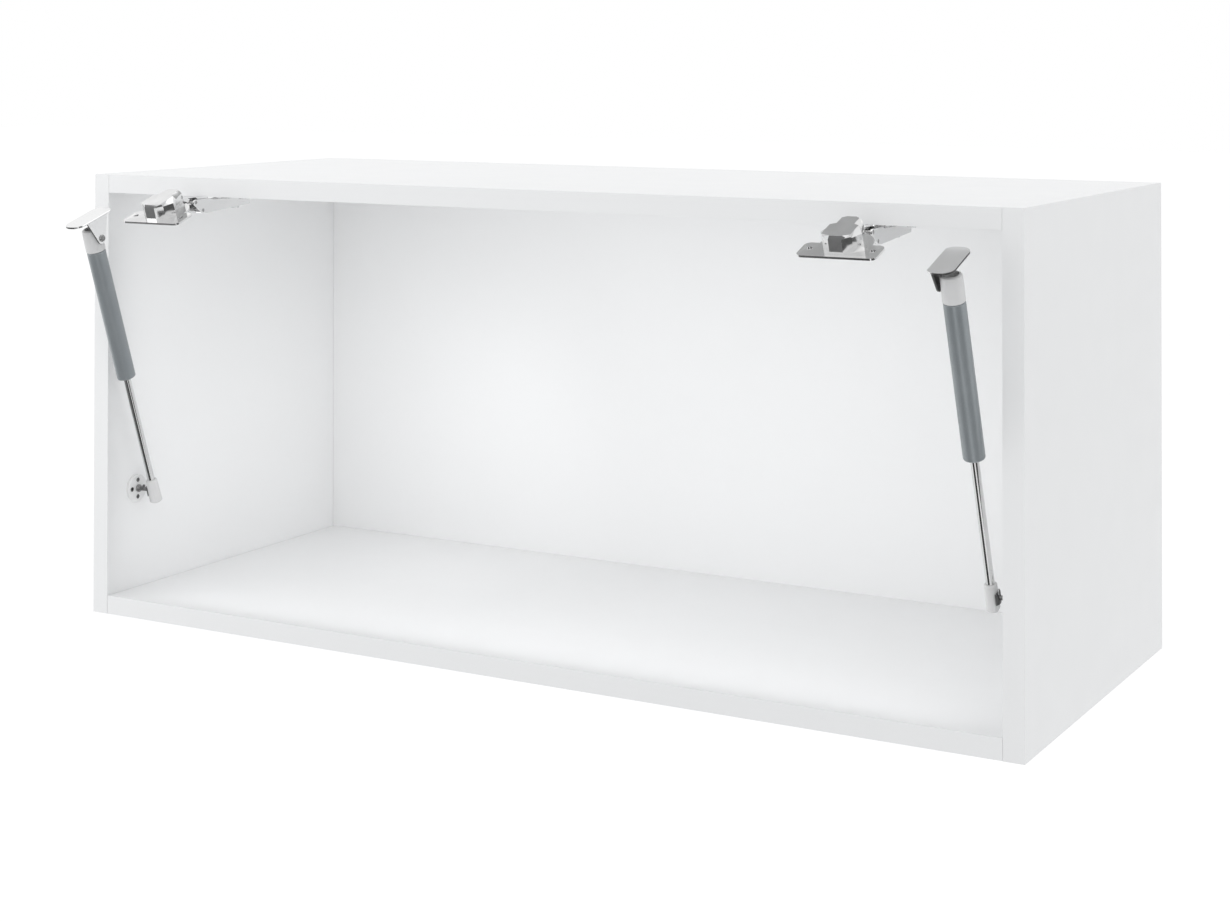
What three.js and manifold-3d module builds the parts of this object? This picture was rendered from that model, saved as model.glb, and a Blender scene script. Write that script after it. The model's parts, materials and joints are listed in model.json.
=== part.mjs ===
// Lift up wall cabinet: a board carcass with two concealed cup hinges under its top and a gas strut
// at each side, shown with the hinges open and the struts raised.
// Millimetres, +Z up, +Y towards the wall. The origin is on the wall plane, at the middle of the
// top panel's rear edge.

import * as THREE from "three";
import { mergeVertices } from "three/addons/utils/BufferGeometryUtils.js";
import Module from "manifold-3d";

const wasm = await Module();
wasm.setup();

// ---------------------------------------------------------------- carcass
const WIDTH = 800;
const HEIGHT = 360;
const DEPTH = 320;
const BOARD = 15; // thickness of the sides, the top and the bottom
const BACK_THICKNESS = 3;
const BACK_INSET = 12; // rear edges of the boards to the rear face of the back
const GROOVE_DEPTH = 8; // how far the back reaches into the boards
const GROOVE_PLAY = 0.2; // clearance round the back in its groove
const BOARD_JOINT = 0.15; // glue line between a side and the top or the bottom

// ---------------------------------------------------------------- hanging plates
const HANGER_WIDTH = 40;
const HANGER_HEIGHT = 62;
const HANGER_THICKNESS = 2;
const HANGER_CORNER = 4;
const HANGER_DROP = 6; // underside of the top to the upper edge of a plate
const HANGER_SKIN = 3; // board left outside the recess that takes a plate
const KEYHOLE_MOUTH = 5.5; // radius of the hole that passes over a wall screw's head
const KEYHOLE_SLOT = 2.8; // half width of the slot that holds the wall screw's shank
const KEYHOLE_RISE = 16; // centre of the mouth to the end of the slot
const HANGER_SCREW_SPACING = 40;
const HANGER_SCREW_HOLE = 2;
const HANGER_SCREW_SINK = 3.6; // radius of the countersink
const HANGER_SCREW_SHANK = 1.7;
const HANGER_SCREW_BITE = 9; // length inside the side, short of the back's groove

// ---------------------------------------------------------------- gas struts
const STRUT_OFFSET = 19.5; // inner face of a side to the strut's axis
const FOOT_SETBACK = 33.9; // front edge of the carcass to the lower pivot
const FOOT_DROP = 247.8; // underside of the top to the lower pivot
const STRUT_LEAN = 18.8; // degrees forward of upright
const FOOT_RADIUS = 11.35;
const FOOT_THICKNESS = 2.5;
const FOOT_EDGE = 0.8; // rounding of the plate's rim
const FOOT_HOLE_CIRCLE = 6.9; // stud to the centres of the screw holes
const FOOT_HOLE = 1.3;
const FOOT_HOLE_SINK = 2.1;
const FOOT_HOLES = 4;
const STUD_SHANK = 2.4;
const STUD_BITE = 11; // length of the stud inside the side panel
const STUD_COLLAR = 3.1;
const STUD_COLLAR_RISE = 1.6; // plate to the end of the collar
const STUD_NECK = 1.7;
const STUD_BALL = 3.6;
const SOCKET_RADIUS = 4.6;
const SOCKET_FOOT_RADIUS = 5.1;
const SOCKET_LENGTH = 20;
const SOCKET_EDGE = 0.8;
const SOCKET_FLAT = 1.1; // depth of the flat on the face that meets the stud
const SOCKET_ROD_BITE = 5; // length of the rod inside the socket
const CLIP_THICKNESS = 0.7;
const CLIP_HEIGHT = 8;
const CLIP_REACH = 48; // degrees round the socket on each side of the stud
const ROD_RADIUS = 3;
const ROD_SHOWN = 93.3; // socket to tube with the strut fully out
const TUBE_RADIUS = 7.5;
const TUBE_WALL = 0.9;
const TUBE_LENGTH = 112;
const TUBE_LIP = 2.2; // rolled edge that keeps the rod guide in, inwards from the outside
const TUBE_END = 3; // thickness of the closed end
const TUBE_STUD_RADIUS = 3;
const TUBE_STUD_LENGTH = 6;
const GUIDE_LENGTH = 8;
const GUIDE_NOSE = 1; // how far the guide's seal stands past the rolled edge
const PISTON_LENGTH = 7;
const PISTON_GAP = 3; // guide to piston with the strut fully out
const PISTON_GROOVE = 1; // depth of the groove for the piston's seal
const CAP_FOOT_RADIUS = 7.8;
const CAP_TOP_RADIUS = 7.5;
const CAP_LENGTH = 19;
const CAP_PIVOT = 11; // foot of the cap to the rivet
const CAP_POCKET_RADIUS = 5.2;
const CAP_POCKET_DEPTH = 3.5;
const CAP_EDGE = 0.7;
const CAP_TOP_EDGE = 1.5; // rounding of the cap's upper edge
const RIVET_RADIUS = 2;
const RIVET_HEAD = 2.8;
const RIVET_HEAD_HEIGHT = 1.3;
const RIVET_TAIL = 2; // cap's far skin left over the rivet's end
const FLAP_PLATE_LENGTH = 42.5;
const FLAP_PLATE_CORNER = 8;
const FLAP_PLATE_OVERHANG = 9; // strut's axis to the plate's outer edge
const FLAP_PLATE_SHEET = 1.4;
const FLAP_PLATE_RISE = 17.8; // rivet to the face that meets the flap
const EAR_SPREAD = 11.5; // half width of the ear at the plate
const EAR_TIP = 4.5; // radius of the ear round the rivet
const EAR_GAP = 0.5; // cap to ear

// ---------------------------------------------------------------- hinges
const HINGE_INSET = 109; // outer face of a side to the middle of its hinge
const ARM_WIDTH = 16;
const ARM_SHEET = 1.4;
const ARM_REAR = 56; // front edge of the carcass to the arm's rear end
const ARM_REAR_DEPTH = 8.4; // underside of the top to the arm's web at its rear end
const ARM_FRONT_DEPTH = 13.2; // the same at the front edge of the carcass
const ARM_SHOULDER = 1.2; // underside of the top to the arm's upper edge near the pins
const ARM_SHOULDER_START = 5.6; // front edge of the carcass to where that edge starts to drop
const ARM_SHOULDER_END = 7.6;
const ARM_WEB_START = 1.2; // front edge of the carcass to the front of the web
const ARM_NOSE = 2.2; // radius of the arm round its pins
const REAR_PIN = { y: -2.4, z: -10.5 }; // arm pin of the long link
const FRONT_PIN = { y: -11.2, z: -4 }; // arm pin of the short link
const DEEP_PIN = { v: 22.1, w: 7 }; // cup pin of the short link, from the screw line
const RIM_PIN = { v: 23, w: 2.6 }; // cup pin of the long link, from the screw line
const HINGE_PIN = 1.25; // radius
const LINK_EYE = 2.4;
const LINK_HALF = 1.6; // half width of a link between its eyes
const LONG_LINK_BOW = 3; // how far the long link's curve is drawn aside
const SHORT_LINK_BOW = 0.4;
const FREE_EYE = 3.1; // eye of the long link on the cup, with room for the pin to travel
const FREE_EYE_HOLE = 2.2;
const FREE_EYE_SHIFT = { y: -0.18, z: 0.18 }; // middle of that travel, from the pin at rest
const LONG_LINK_X = [-4.8, 0.1]; // from the hinge's middle
const SHORT_LINK_X = [0.7, 4.4]; // beside it, so that the links pass each other
const DEEP_PIN_END = 8; // hinge's middle to the pin's end in the cup's wall
const RIM_PIN_END = 7.8;
const FLAP_TILT = 20; // degrees, rise of the flap's plane towards the wall
const SCREW_LINE_REACH = 46.5; // front edge of the carcass forward to the cup's screw line
const SCREW_LINE_DROP = 13.1; // underside of the top to the cup's screw line
const SCREW_SPACING = 45;
const CUP_CENTRE = 9.5; // screw line to the middle of the cup
const CUP_DEPTH = 13.2;
const CUP_WALL = 0.8;
const CUP_BEVEL_DROP = 3; // height of the bevel round the cup's flat end
const CUP_FLAT = [ // half outline of the flat end, [across, from the screw line]
  [3.6, -7.2], [10.3, -4.6], [10.3, 3.6], [10.3, 10.6], [6.3, 12.8], [6.3, 21.8], [3.3, 24],
];
const CUP_BASE = [ // the same from the flap's plane to the bevel
  [4.8, -7.6], [10.6, -3.2], [15, 4.2], [11.9, 11.6], [9.8, 17], [7.8, 23.6], [4.2, 26.2],
];
const CUP_DRAFT = 0.2; // how far the walls lean in on the way up to the bevel
const CUP_MOUTH = 6.1; // half width of the slot in the rim that the links pass through
const CUP_MOUTH_START = 18.2; // screw line to the start of that slot
const CUP_MOUTH_HEIGHT = 8.6; // the flap's plane to the end of that slot
const FLANGE_SHEET = 1.5;
const FLANGE_HALF = 28.5;
const FLANGE_FRONT = 11.5; // screw line to the flange's front edge
const FLANGE_REAR = 9; // screw line to the wings' rear edge
const FLANGE_CORNER = 4.5;
const FLANGE_RIM = 18.7; // radius of the rim round the cup
const FLANGE_HOLE = 2.1;
const PLATE_LINE = 37; // front edge of the carcass to the mounting plate's screws
const PLATE_SCREW_SPACING = 32;
const PLATE_WING_LENGTH = 54;
const PLATE_WING_WIDTH = 13;
const PLATE_SHEET = 2;
const PLATE_BLOCK_HALF = 6.4; // half width of the block inside the arm
const PLATE_BLOCK_START = 18;
const PLATE_BLOCK_END = 54;
const PLATE_BLOCK_DROP = 6.6;
const WOOD_SCREW_HEAD = 3.4;
const WOOD_SCREW_HEAD_HEIGHT = 1.6;
const WOOD_SCREW_SHANK = 1.7;
const WOOD_SCREW_BITE = 12; // length inside the board
const FIXING_SCREW_LINE = 46; // front edge of the carcass to the screw that holds the arm
const FIXING_SCREW_HEAD = 3.7;
const FIXING_SCREW_HEAD_HEIGHT = 2.2;
const FIXING_SCREW_SHANK = 2.2;
const DEPTH_SCREW_LINE = 26; // the same to the screw that sets the arm's height
const DEPTH_SCREW_RADIUS = 2.6;
const SCREW_SLOT = 0.9; // width of a driver slot
const SCREW_SLOT_DEPTH = 0.8;
const SPRING_SHEET = 0.6;
const SPRING_HALF = 4.5;
const SPRING_FOOT = 16; // front edge of the carcass to the spring's rear end
const SPRING_BEND = 8.8; // the same to the start of its curve
const SPRING_LIFT = 3.1; // the same to the point that the curve aims at before it turns up
const SPRING_TIP = { y: 0.6, z: -6.8 };

// ---------------------------------------------------------------- general clearances
const PIN_FIT = 0.08; // radial, a pin or screw in the piece that holds it
const RUNNING_FIT = 0.1; // radial, a pin in the piece that turns on it
const SLIDING_FIT = 0.1; // radial, the strut's sliding pieces
const SEAT_GAP = 0.3; // between a fastened piece and what it lies against
const ROUND_STEPS = 24; // sides of a small round
const PIN_STEPS = 16; // sides of a pin or a screw
const BALL_STEPS = 8; // rings of a ball
const FINE_STEPS = 40; // sides of a large round
const PAST = 1; // how far a cutting tool runs past the face that it enters

// ---------------------------------------------------------------- finishes
const FINISH = {
  board: { color: 0xf1f2f3, roughness: 0.45, metalness: 0 },
  zinc: { color: 0xc9ccce, roughness: 0.3, metalness: 1 },
  nickel: { color: 0xb9bcbd, roughness: 0.18, metalness: 1 },
  steel: { color: 0x8e9294, roughness: 0.35, metalness: 1 },
  darkSteel: { color: 0x2c2d2f, roughness: 0.4, metalness: 1 },
  chrome: { color: 0xdfe2e4, roughness: 0.06, metalness: 1 },
  tube: { color: 0x6f757d, roughness: 0.38, metalness: 0.6 },
  whitePlastic: { color: 0xe6e7e6, roughness: 0.5, metalness: 0 },
  blackPlastic: { color: 0x1a1a1b, roughness: 0.5, metalness: 0 },
  paintedSteel: { color: 0xc4c7c6, roughness: 0.4, metalness: 0.4 },
};

const degrees = THREE.MathUtils.degToRad;

// ---------------------------------------------------------------- solids
// A closed geometry as a solid that can be joined and cut.
function solidOf(geometry) {
  const bare = geometry.clone();
  bare.deleteAttribute("normal");
  bare.deleteAttribute("uv");
  const merged = mergeVertices(bare, 1e-4);
  const vertProperties = new Float32Array(merged.attributes.position.array);
  const triVerts = new Uint32Array(merged.index.array);
  return new wasm.Manifold(new wasm.Mesh({ numProp: 3, vertProperties, triVerts }));
}

function geometryOf(solid) {
  const mesh = solid.getMesh();
  const geometry = new THREE.BufferGeometry();
  const position = new THREE.BufferAttribute(new Float32Array(mesh.vertProperties), 3);
  geometry.setAttribute("position", position);
  geometry.setIndex(new THREE.BufferAttribute(new Uint32Array(mesh.triVerts), 1));
  geometry.computeVertexNormals();
  return geometry;
}

function join(first, ...others) {
  return geometryOf(others.reduce((sum, other) => sum.add(solidOf(other)), solidOf(first)));
}

function cut(first, ...tools) {
  return geometryOf(tools.reduce((rest, tool) => rest.subtract(solidOf(tool)), solidOf(first)));
}

function common(first, ...others) {
  return geometryOf(others.reduce((rest, other) => rest.intersect(solidOf(other)), solidOf(first)));
}

// The mirror image of a geometry in the plane X = 0.
function mirrored(geometry) {
  const image = mergeVertices(geometry.clone().scale(-1, 1, 1));
  const index = image.index.array;
  for (let i = 0; i < index.length; i += 3) {
    [index[i + 1], index[i + 2]] = [index[i + 2], index[i + 1]];
  }
  image.computeVertexNormals();
  return image;
}

// A box given by its lowest and highest corners.
function box([x0, y0, z0], [x1, y1, z1]) {
  const geometry = new THREE.BoxGeometry(x1 - x0, y1 - y0, z1 - z0);
  return geometry.translate((x0 + x1) / 2, (y0 + y1) / 2, (z0 + z1) / 2);
}

// A solid of revolution about Z. Each point is [radius, height], upwards along the outside.
function turned(points, steps = ROUND_STEPS) {
  const profile = points.map(([radius, height]) => new THREE.Vector2(radius, height));
  return new THREE.LatheGeometry(profile, steps).rotateX(Math.PI / 2);
}

// A round bar along Z from one height to another.
function bar(radius, from, to, steps = ROUND_STEPS) {
  return turned([[0, from], [radius, from], [radius, to], [0, to]], steps);
}

// A round bar along X through the point (y, z).
function crossBar(radius, from, to, y, z, steps = ROUND_STEPS) {
  return bar(radius, from, to, steps).rotateY(Math.PI / 2).translate(0, y, z);
}

// An outline drawn in (x, y), extruded along Z.
function plate(shape, from, to, curveSegments = 6) {
  const settings = { depth: to - from, bevelEnabled: false, curveSegments };
  return new THREE.ExtrudeGeometry(shape, settings).translate(0, 0, from);
}

// An outline drawn in (y, z), extruded along X.
function slab(shape, from, to, curveSegments = 6) {
  const geometry = plate(shape, 0, to - from, curveSegments);
  return geometry.rotateX(Math.PI / 2).rotateZ(Math.PI / 2).translate(from, 0, 0);
}

// An outline drawn in (x, z), extruded along Y from the front to the rear.
function upright(shape, front, rear, curveSegments = 6) {
  return plate(shape, 0, rear - front, curveSegments).rotateX(Math.PI / 2).translate(0, rear, 0);
}

function polygon(points) {
  return new THREE.Shape(points.map(([x, y]) => new THREE.Vector2(x, y)));
}

function roundedRectangle([x0, y0], [x1, y1], radius) {
  const shape = new THREE.Shape();
  shape.moveTo(x0 + radius, y0);
  shape.lineTo(x1 - radius, y0);
  shape.absarc(x1 - radius, y0 + radius, radius, -Math.PI / 2, 0);
  shape.lineTo(x1, y1 - radius);
  shape.absarc(x1 - radius, y1 - radius, radius, 0, Math.PI / 2);
  shape.lineTo(x0 + radius, y1);
  shape.absarc(x0 + radius, y1 - radius, radius, Math.PI / 2, Math.PI);
  shape.lineTo(x0, y0 + radius);
  shape.absarc(x0 + radius, y0 + radius, radius, Math.PI, Math.PI * 1.5);
  return shape;
}

// Two round ends joined by straight sides.
function capsule([ax, ay], ra, [bx, by], rb) {
  const along = Math.atan2(by - ay, bx - ax);
  const spread = Math.acos((ra - rb) / Math.hypot(bx - ax, by - ay));
  const shape = new THREE.Shape();
  shape.absarc(ax, ay, ra, along + spread, along - spread + 2 * Math.PI);
  shape.absarc(bx, by, rb, along - spread, along + spread);
  return shape;
}

// A strip of even width along a plane curve.
function strip(curve, half, steps = 10) {
  const near = [];
  const far = [];
  for (let i = 0; i <= steps; i += 1) {
    const at = curve.getPoint(i / steps);
    const along = curve.getTangent(i / steps);
    near.push([at.x + along.y * half, at.y - along.x * half]);
    far.unshift([at.x - along.y * half, at.y + along.x * half]);
  }
  return polygon([...near, ...far]);
}

// A solid through rings of points, each ring with the same number of points, the lowest ring first.
function loft(rings) {
  const count = rings[0].length;
  const position = rings.flat(2);
  const index = [];
  rings.slice(1).forEach((_, level) => {
    for (let i = 0; i < count; i += 1) {
      const a = level * count + i;
      const b = level * count + ((i + 1) % count);
      index.push(a, b, b + count, a, b + count, a + count);
    }
  });
  [0, rings.length - 1].forEach((level) => {
    const centre = position.length / 3;
    const sum = new THREE.Vector3();
    rings[level].forEach((point) => sum.add(new THREE.Vector3(...point)));
    position.push(...sum.divideScalar(count));
    for (let i = 0; i < count; i += 1) {
      const a = level * count + i;
      const b = level * count + ((i + 1) % count);
      index.push(centre, ...(level === 0 ? [b, a] : [a, b]));
    }
  });
  const geometry = new THREE.BufferGeometry();
  geometry.setAttribute("position", new THREE.Float32BufferAttribute(position, 3));
  geometry.setIndex(index);
  return geometry;
}

function piece(name, geometry, finish) {
  const mesh = new THREE.Mesh(geometry, new THREE.MeshStandardMaterial(finish));
  mesh.name = name;
  return mesh;
}

// ---------------------------------------------------------------- carcass
// Carcass frame: X from the middle, Y back from the front edges, Z up from the underside.
const INNER_HALF = WIDTH / 2 - BOARD;
const TOP_UNDERSIDE = HEIGHT - BOARD;
const BACK_FRONT = DEPTH - BACK_INSET - BACK_THICKNESS;
const BACK_REAR = DEPTH - BACK_INSET;
const HANGER_TOP = TOP_UNDERSIDE - HANGER_DROP;
const HANGER_OUTER = WIDTH / 2 - HANGER_SKIN;
const HANGER_SCREW_X = (INNER_HALF + HANGER_OUTER) / 2;
const HANGER_SCREW_HEIGHTS = [-0.5, 0.5].map(
  (share) => HANGER_TOP - HANGER_HEIGHT / 2 + share * HANGER_SCREW_SPACING,
);
const FOOT_HEIGHT = TOP_UNDERSIDE - FOOT_DROP;

// The groove for the back, cut round the four boards.
function backGroove() {
  const reach = GROOVE_DEPTH + GROOVE_PLAY;
  return box(
    [-INNER_HALF - reach, BACK_FRONT - GROOVE_PLAY, BOARD - reach],
    [INNER_HALF + reach, BACK_REAR + GROOVE_PLAY, TOP_UNDERSIDE + reach],
  );
}

// The recess in the right side's rear edge that takes its hanging plate.
function hangerRecess() {
  return box(
    [INNER_HALF - PAST, DEPTH - HANGER_THICKNESS - SEAT_GAP, HANGER_TOP - HANGER_HEIGHT - SEAT_GAP],
    [HANGER_OUTER + SEAT_GAP, DEPTH + PAST, HANGER_TOP + SEAT_GAP],
  );
}

function rightSide() {
  const board = box([INNER_HALF, 0, 0], [WIDTH / 2, DEPTH, HEIGHT]);
  const studHole = crossBar(
    STUD_SHANK + PIN_FIT, INNER_HALF - PAST, INNER_HALF + STUD_BITE + SEAT_GAP, FOOT_SETBACK, FOOT_HEIGHT,
  );
  const screwHoles = HANGER_SCREW_HEIGHTS.map((z) => {
    const from = DEPTH - HANGER_THICKNESS - HANGER_SCREW_BITE - SEAT_GAP;
    const hole = bar(HANGER_SCREW_SHANK + PIN_FIT, -DEPTH - PAST, -from, PIN_STEPS);
    return hole.rotateX(Math.PI / 2).translate(HANGER_SCREW_X, 0, z);
  });
  return cut(board, backGroove(), hangerRecess(), studHole, ...screwHoles);
}

// The top or the bottom, between the sides.
function crossPanel(bottom) {
  const half = INNER_HALF - BOARD_JOINT;
  return box([-half, 0, bottom], [half, DEPTH, bottom + BOARD]);
}

function topPanel() {
  const holes = hingeCentres().flatMap((x) => plateScrewPlaces().map((place) => {
    const hole = bar(WOOD_SCREW_SHANK + PIN_FIT, -PAST, WOOD_SCREW_BITE + SEAT_GAP);
    return hole.translate(x + place, PLATE_LINE, TOP_UNDERSIDE);
  }));
  return cut(crossPanel(TOP_UNDERSIDE), backGroove(), ...holes);
}

function backPanel() {
  return box(
    [-INNER_HALF - GROOVE_DEPTH, BACK_FRONT, BOARD - GROOVE_DEPTH],
    [INNER_HALF + GROOVE_DEPTH, BACK_REAR, TOP_UNDERSIDE + GROOVE_DEPTH],
  );
}

// The right hanging plate: a flat plate let in flush with the rear edge of the side, with a keyhole
// that hooks over a wall screw and two countersunk holes over the side's edge.
function rightHanger() {
  const low = [HANGER_OUTER - HANGER_WIDTH, HANGER_TOP - HANGER_HEIGHT];
  const outline = roundedRectangle(low, [HANGER_OUTER, HANGER_TOP], HANGER_CORNER);
  const sheet = plate(outline, 0, HANGER_THICKNESS);
  const keyX = (low[0] + INNER_HALF) / 2;
  const keyZ = HANGER_TOP - HANGER_HEIGHT / 2 - KEYHOLE_RISE / 2;
  const through = [-PAST, HANGER_THICKNESS + PAST];
  const mouth = bar(KEYHOLE_MOUTH, ...through).translate(keyX, keyZ, 0);
  const slot = plate(
    capsule([keyX, keyZ], KEYHOLE_SLOT, [keyX, keyZ + KEYHOLE_RISE], KEYHOLE_SLOT), ...through,
  );
  const screws = HANGER_SCREW_HEIGHTS.map((z) => turned([
    [0, -PAST], [HANGER_SCREW_SINK, -PAST], [HANGER_SCREW_SINK, 0],
    [HANGER_SCREW_HOLE, HANGER_SCREW_SINK - HANGER_SCREW_HOLE],
    [HANGER_SCREW_HOLE, HANGER_THICKNESS + PAST], [0, HANGER_THICKNESS + PAST],
  ]).translate(HANGER_SCREW_X, z, 0));
  return cut(sheet, mouth, slot, ...screws).rotateX(Math.PI / 2).translate(0, DEPTH, 0);
}

// A countersunk screw through the right hanging plate into the side's rear edge.
function hangerScrew(z) {
  const face = PIN_FIT;
  const head = HANGER_SCREW_SINK - PIN_FIT * 2;
  const shank = HANGER_SCREW_SHANK;
  const tip = HANGER_THICKNESS + HANGER_SCREW_BITE;
  const screw = turned([
    [0, face], [head, face], [shank, face + head - shank], [shank, tip - shank], [0, tip],
  ], PIN_STEPS);
  const slot = slotAcross(0, 0, HANGER_SCREW_SINK);
  return cut(screw, slot).rotateX(Math.PI / 2).translate(HANGER_SCREW_X, DEPTH, z);
}

// ---------------------------------------------------------------- gas strut, right hand
// Foot frame: origin at the lower pivot, X outwards to the side panel.
// Strut frame: the same origin, Z up along the strut.
const SOCKET_TOP = SOCKET_LENGTH / 2;
const TUBE_START = SOCKET_TOP + ROD_SHOWN;
const TUBE_TOP = TUBE_START + TUBE_LENGTH;
const TUBE_BORE = TUBE_RADIUS - TUBE_WALL;
const GUIDE_TOP = TUBE_START + TUBE_WALL + GUIDE_LENGTH;
const PISTON_START = GUIDE_TOP + PISTON_GAP;
const CAP_START = TUBE_TOP + SEAT_GAP;
const CAP_TOP = CAP_START + CAP_LENGTH;
const UPPER_PIVOT = CAP_START + CAP_PIVOT;
const EAR_INNER = -CAP_FOOT_RADIUS - EAR_GAP;
const EAR_OUTER = EAR_INNER - FLAP_PLATE_SHEET;

// A disc that lies on the side panel, with countersunk holes round the stud.
function footPlate() {
  const rim = FOOT_RADIUS - FOOT_EDGE;
  const bore = STUD_SHANK + PIN_FIT;
  const disc = turned([
    [bore, 0], [FOOT_RADIUS, 0], [FOOT_RADIUS, FOOT_THICKNESS - FOOT_EDGE], [rim, FOOT_THICKNESS],
    [bore, FOOT_THICKNESS], [bore, 0],
  ], FINE_STEPS);
  const holes = Array.from({ length: FOOT_HOLES }, (_, i) => {
    const turn = (i / FOOT_HOLES) * 2 * Math.PI;
    const sink = FOOT_THICKNESS - (FOOT_HOLE_SINK - FOOT_HOLE);
    return turned([
      [0, -PAST], [FOOT_HOLE, -PAST], [FOOT_HOLE, sink], [FOOT_HOLE_SINK, FOOT_THICKNESS],
      [FOOT_HOLE_SINK, FOOT_THICKNESS + PAST], [0, FOOT_THICKNESS + PAST],
    ], PIN_STEPS).translate(FOOT_HOLE_CIRCLE * Math.cos(turn), FOOT_HOLE_CIRCLE * Math.sin(turn), 0);
  });
  return cut(disc, ...holes).rotateY(-Math.PI / 2).translate(STRUT_OFFSET, 0, 0);
}

// The stud screwed into the side panel: shank, collar on the foot plate, neck and ball.
function footStud() {
  const neckMeets = Math.sqrt(STUD_BALL ** 2 - STUD_NECK ** 2);
  const start = Math.PI - Math.asin(STUD_NECK / STUD_BALL);
  const ball = Array.from({ length: BALL_STEPS }, (_, i) => {
    const turn = start * (1 - i / BALL_STEPS);
    return [STUD_BALL * Math.sin(turn), STRUT_OFFSET + STUD_BALL * Math.cos(turn)];
  });
  ball.push([0, STRUT_OFFSET + STUD_BALL]);
  const collarStart = FOOT_THICKNESS + PIN_FIT;
  const collarEnd = FOOT_THICKNESS + STUD_COLLAR_RISE;
  return turned([
    [0, -STUD_BITE], [STUD_SHANK, -STUD_BITE], [STUD_SHANK, collarStart], [STUD_COLLAR, collarStart],
    [STUD_COLLAR, collarEnd], [STUD_NECK, collarEnd + STUD_COLLAR - STUD_NECK],
    [STUD_NECK, STRUT_OFFSET - neckMeets - PIN_FIT], ...ball,
  ]).rotateY(-Math.PI / 2).translate(STRUT_OFFSET, 0, 0);
}

// The moulded end that snaps over the ball: a round body with a flat on the stud's side, a round
// pocket that opens there, and a blind hole for the rod.
function socket() {
  const low = -SOCKET_LENGTH / 2;
  const body = turned([
    [0, low], [SOCKET_FOOT_RADIUS - SOCKET_EDGE, low], [SOCKET_FOOT_RADIUS, low + SOCKET_EDGE],
    [SOCKET_RADIUS, SOCKET_TOP - SOCKET_EDGE], [SOCKET_RADIUS - SOCKET_EDGE, SOCKET_TOP], [0, SOCKET_TOP],
  ], FINE_STEPS);
  const flat = SOCKET_RADIUS - SOCKET_FLAT;
  const outside = box(
    [flat, -SOCKET_LENGTH, low - PAST], [SOCKET_LENGTH, SOCKET_LENGTH, SOCKET_TOP + PAST],
  );
  const pocket = new THREE.SphereGeometry(STUD_BALL + RUNNING_FIT * 2, ROUND_STEPS, ROUND_STEPS / 2);
  const mouth = crossBar(STUD_BALL - RUNNING_FIT, 0, SOCKET_LENGTH, 0, 0);
  const rodHole = bar(ROD_RADIUS + PIN_FIT, SOCKET_TOP - SOCKET_ROD_BITE - SEAT_GAP, SOCKET_TOP + PAST);
  return cut(body, outside, pocket, mouth, rodHole);
}

// A spring band round the socket's outer half that keeps it on the ball, open where the neck passes.
function socketClip() {
  const inner = SOCKET_FOOT_RADIUS + PIN_FIT;
  const outer = inner + CLIP_THICKNESS;
  const reach = degrees(CLIP_REACH);
  const band = new THREE.Shape();
  band.absarc(0, 0, outer, -reach, reach);
  band.absarc(0, 0, inner, reach, -reach, true);
  const ring = plate(band, -CLIP_HEIGHT / 2, CLIP_HEIGHT / 2, 16);
  const neck = capsule([0, 0], STUD_NECK + SEAT_GAP, [0, CLIP_HEIGHT], STUD_NECK + SEAT_GAP);
  return cut(ring, slab(neck, 0, SOCKET_LENGTH));
}

// The rod with the piston on its inner end, which has a groove for its seal.
function pistonRod() {
  const outer = TUBE_BORE - SLIDING_FIT;
  const groove = outer - PISTON_GROOVE;
  const third = PISTON_LENGTH / 3;
  return turned([
    [0, SOCKET_TOP - SOCKET_ROD_BITE], [ROD_RADIUS, SOCKET_TOP - SOCKET_ROD_BITE],
    [ROD_RADIUS, PISTON_START], [outer, PISTON_START], [outer, PISTON_START + third],
    [groove, PISTON_START + third], [groove, PISTON_START + 2 * third], [outer, PISTON_START + 2 * third],
    [outer, PISTON_START + PISTON_LENGTH], [0, PISTON_START + PISTON_LENGTH],
  ]);
}

// The bush with its seal that fills the tube's mouth; the rod slides in it.
function rodGuide() {
  const bore = ROD_RADIUS + SLIDING_FIT;
  const outer = TUBE_BORE - PIN_FIT;
  const nose = TUBE_RADIUS - TUBE_LIP - PIN_FIT;
  const shoulder = TUBE_START + TUBE_WALL + PIN_FIT;
  const low = TUBE_START - GUIDE_NOSE;
  return turned([
    [bore, low], [nose - GUIDE_NOSE / 2, low], [nose, TUBE_START], [nose, shoulder],
    [outer, shoulder], [outer, GUIDE_TOP], [bore, GUIDE_TOP], [bore, low],
  ]);
}

// The pressure tube: a long cup with a rolled mouth and a threaded stud on its closed end.
function tube() {
  const lip = TUBE_RADIUS - TUBE_LIP;
  const edge = TUBE_WALL;
  const thread = TUBE_STUD_RADIUS;
  return turned([
    [0, TUBE_TOP - TUBE_END], [TUBE_BORE, TUBE_TOP - TUBE_END], [TUBE_BORE, TUBE_START + edge],
    [lip, TUBE_START + edge], [lip, TUBE_START], [TUBE_RADIUS - edge, TUBE_START],
    [TUBE_RADIUS, TUBE_START + edge], [TUBE_RADIUS, TUBE_TOP - edge / 2],
    [TUBE_RADIUS - edge / 2, TUBE_TOP], [thread, TUBE_TOP],
    [thread, TUBE_TOP + TUBE_STUD_LENGTH], [0, TUBE_TOP + TUBE_STUD_LENGTH],
  ], FINE_STEPS);
}

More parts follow.
